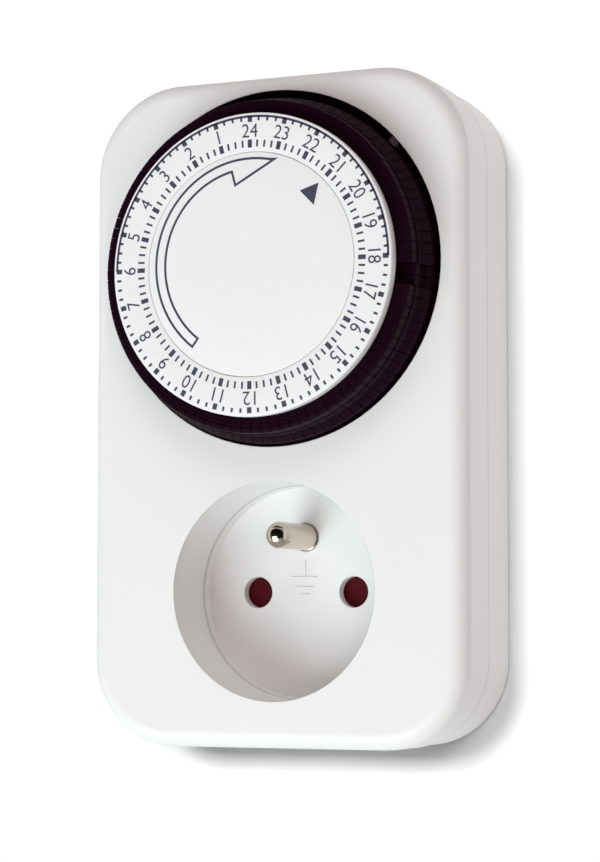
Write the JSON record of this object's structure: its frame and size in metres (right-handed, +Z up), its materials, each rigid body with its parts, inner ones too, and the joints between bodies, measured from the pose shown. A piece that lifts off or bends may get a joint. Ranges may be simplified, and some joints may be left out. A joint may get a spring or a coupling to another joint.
{
  "type": "plug-in mechanical timer switch",
  "caption": "Upright plug-in socket timer with a turning day dial ringed by push-down tappets above an earthed socket, and a round plug with two pins on the back.",
  "frame": {"origin": "midway between the two plug pins, on the end face of the plug body at the back", "axes": "+Y along the plug pins into the wall socket, +Z up the housing, +X to the right seen from the front"},
  "size_m": [0.0728, 0.0693, 0.1205],
  "materials": {
    "housing_plastic": "satin white",
    "dial_plastic": "satin white",
    "tappet_plastic": "satin black",
    "carrier_plastic": "matte black",
    "gear_plastic": "natural",
    "shutter_plastic": "matte dark red",
    "insulator_plastic": "matte",
    "contact_brass": "plain",
    "pin_nickel": "nickel plated",
    "zinc_steel": "zinc plated"
  },
  "bodies": {
    "housing": {"front_shell": "housing_plastic", "rear_shell": "housing_plastic", "case_screws": "zinc_steel", "well_liner": "carrier_plastic", "centre_disc": "dial_plastic", "reduction_arbor": "zinc_steel", "movement_plate": "zinc_steel", "plate_screws": "zinc_steel", "motor": "zinc_steel", "lever_pin": "zinc_steel", "switch_block": "insulator_plastic", "fixed_contact": "contact_brass", "live_busbar": "contact_brass", "switched_busbar": "contact_brass", "contact_block": "insulator_plastic", "live_clip": "contact_brass", "neutral_clip": "contact_brass", "shutter_spring": "zinc_steel", "earth_pin": "pin_nickel", "earth_sleeve": "contact_brass", "earth_strap": "contact_brass", "earth_clips": "pin_nickel", "live_plug_pin": "pin_nickel", "neutral_plug_pin": "pin_nickel"},
    "dial": {"number_ring": "dial_plastic", "tappet_carrier": "carrier_plastic", "ring_gear": "gear_plastic", "clutch_washer": "zinc_steel"},
    "reduction_gear": {"reduction_gear": "gear_plastic"},
    "motor_pinion": {"motor_pinion": "contact_brass"},
    "switch_lever": {"switch_lever": "insulator_plastic"},
    "contact_leaf": {"contact_leaf": "contact_brass"},
    "shutter": {"shutter": "shutter_plastic"},
    "tappets_00": {"tappets_00": "tappet_plastic"},
    "tappets_01": {"tappets_01": "tappet_plastic"},
    "tappets_02": {"tappets_02": "tappet_plastic"},
    "tappets_03": {"tappets_03": "tappet_plastic"},
    "tappets_04": {"tappets_04": "tappet_plastic"},
    "tappets_05": {"tappets_05": "tappet_plastic"},
    "tappets_06": {"tappets_06": "tappet_plastic"},
    "tappets_07": {"tappets_07": "tappet_plastic"},
    "tappets_08": {"tappets_08": "tappet_plastic"},
    "tappets_09": {"tappets_09": "tappet_plastic"},
    "tappets_10": {"tappets_10": "tappet_plastic"},
    "tappets_11": {"tappets_11": "tappet_plastic"},
    "tappets_12": {"tappets_12": "tappet_plastic"},
    "tappets_13": {"tappets_13": "tappet_plastic"},
    "tappets_14": {"tappets_14": "tappet_plastic"},
    "tappets_15": {"tappets_15": "tappet_plastic"},
    "tappets_16": {"tappets_16": "tappet_plastic"},
    "tappets_17": {"tappets_17": "tappet_plastic"},
    "tappets_18": {"tappets_18": "tappet_plastic"},
    "tappets_19": {"tappets_19": "tappet_plastic"},
    "tappets_20": {"tappets_20": "tappet_plastic"},
    "tappets_21": {"tappets_21": "tappet_plastic"},
    "tappets_22": {"tappets_22": "tappet_plastic"},
    "tappets_23": {"tappets_23": "tappet_plastic"},
    "tappets_17_pressed": {"tappets_17_pressed": "tappet_plastic"}
  },
  "joints": [
    {"name": "dial_turn", "type": "hinge", "parent": "housing", "child": "dial", "pos_m": [0, -0.0405, 0.05705], "axis": [0, 1, 0], "continuous": true},
    {"name": "reduction_gear_turn", "type": "hinge", "parent": "housing", "child": "reduction_gear", "pos_m": [-0.00646, -0.0405, 0.03929], "axis": [0, 1, 0], "continuous": true},
    {"name": "motor_pinion_turn", "type": "hinge", "parent": "housing", "child": "motor_pinion", "pos_m": [-0.01125, -0.0405, 0.05245], "axis": [0, 1, 0], "continuous": true},
    {"name": "lever_swing", "type": "hinge", "parent": "housing", "child": "switch_lever", "pos_m": [0.0152, -0.0319, 0.07225], "axis": [-0.7071, 0, 0.7071], "range_deg": [0, 15.1]},
    {"name": "leaf_bend", "type": "hinge", "parent": "housing", "child": "contact_leaf", "pos_m": [0.028, -0.0289, 0.06723], "axis": [-0.7071, 0, -0.7071], "range_deg": [0, 7.4]},
    {"name": "shutter_turn", "type": "hinge", "parent": "housing", "child": "shutter", "pos_m": [0, -0.0235, 0], "axis": [0, -1, 0], "range_deg": [0, 42], "stiffness_Nm_per_rad": 0.002, "springref_deg": -17.19},
    {"name": "tappets_00_press", "type": "slide", "parent": "dial", "child": "tappets_00", "axis": [0, 1, 0], "range_m": [0, 0.0021]},
    {"name": "tappets_01_press", "type": "slide", "parent": "dial", "child": "tappets_01", "axis": [0, 1, 0], "range_m": [0, 0.0021]},
    {"name": "tappets_02_press", "type": "slide", "parent": "dial", "child": "tappets_02", "axis": [0, 1, 0], "range_m": [0, 0.0021]},
    {"name": "tappets_03_press", "type": "slide", "parent": "dial", "child": "tappets_03", "axis": [0, 1, 0], "range_m": [0, 0.0021]},
    {"name": "tappets_04_press", "type": "slide", "parent": "dial", "child": "tappets_04", "axis": [0, 1, 0], "range_m": [0, 0.0021]},
    {"name": "tappets_05_press", "type": "slide", "parent": "dial", "child": "tappets_05", "axis": [0, 1, 0], "range_m": [0, 0.0021]},
    {"name": "tappets_06_press", "type": "slide", "parent": "dial", "child": "tappets_06", "axis": [0, 1, 0], "range_m": [0, 0.0021]},
    {"name": "tappets_07_press", "type": "slide", "parent": "dial", "child": "tappets_07", "axis": [0, 1, 0], "range_m": [0, 0.0021]},
    {"name": "tappets_08_press", "type": "slide", "parent": "dial", "child": "tappets_08", "axis": [0, 1, 0], "range_m": [0, 0.0021]},
    {"name": "tappets_09_press", "type": "slide", "parent": "dial", "child": "tappets_09", "axis": [0, 1, 0], "range_m": [0, 0.0021]},
    {"name": "tappets_10_press", "type": "slide", "parent": "dial", "child": "tappets_10", "axis": [0, 1, 0], "range_m": [0, 0.0021]},
    {"name": "tappets_11_press", "type": "slide", "parent": "dial", "child": "tappets_11", "axis": [0, 1, 0], "range_m": [0, 0.0021]},
    {"name": "tappets_12_press", "type": "slide", "parent": "dial", "child": "tappets_12", "axis": [0, 1, 0], "range_m": [0, 0.0021]},
    {"name": "tappets_13_press", "type": "slide", "parent": "dial", "child": "tappets_13", "axis": [0, 1, 0], "range_m": [0, 0.0021]},
    {"name": "tappets_14_press", "type": "slide", "parent": "dial", "child": "tappets_14", "axis": [0, 1, 0], "range_m": [0, 0.0021]},
    {"name": "tappets_15_press", "type": "slide", "parent": "dial", "child": "tappets_15", "axis": [0, 1, 0], "range_m": [0, 0.0021]},
    {"name": "tappets_16_press", "type": "slide", "parent": "dial", "child": "tappets_16", "axis": [0, 1, 0], "range_m": [0, 0.0021]},
    {"name": "tappets_17_press", "type": "slide", "parent": "dial", "child": "tappets_17", "axis": [0, 1, 0], "range_m": [0, 0.0021]},
    {"name": "tappets_18_press", "type": "slide", "parent": "dial", "child": "tappets_18", "axis": [0, 1, 0], "range_m": [0, 0.0021]},
    {"name": "tappets_19_press", "type": "slide", "parent": "dial", "child": "tappets_19", "axis": [0, 1, 0], "range_m": [0, 0.0021]},
    {"name": "tappets_20_press", "type": "slide", "parent": "dial", "child": "tappets_20", "axis": [0, 1, 0], "range_m": [0, 0.0021]},
    {"name": "tappets_21_press", "type": "slide", "parent": "dial", "child": "tappets_21", "axis": [0, 1, 0], "range_m": [0, 0.0021]},
    {"name": "tappets_22_press", "type": "slide", "parent": "dial", "child": "tappets_22", "axis": [0, 1, 0], "range_m": [0, 0.0021]},
    {"name": "tappets_23_press", "type": "slide", "parent": "dial", "child": "tappets_23", "axis": [0, 1, 0], "range_m": [0, 0.0021]},
    {"name": "tappets_17_pressed_lift", "type": "slide", "parent": "dial", "child": "tappets_17_pressed", "axis": [0, 1, 0], "range_m": [-0.0021, 0]}
  ],
  "couplings": [
    {"joint": "reduction_gear_turn", "follows": "dial_turn", "ratio": 8},
    {"joint": "motor_pinion_turn", "follows": "dial_turn", "ratio": -48},
    {"joint": "lever_swing", "follows": "tappets_21_press", "rad_per_m": 124.67},
    {"joint": "leaf_bend", "follows": "tappets_21_press", "rad_per_m": 60.671}
  ]
}
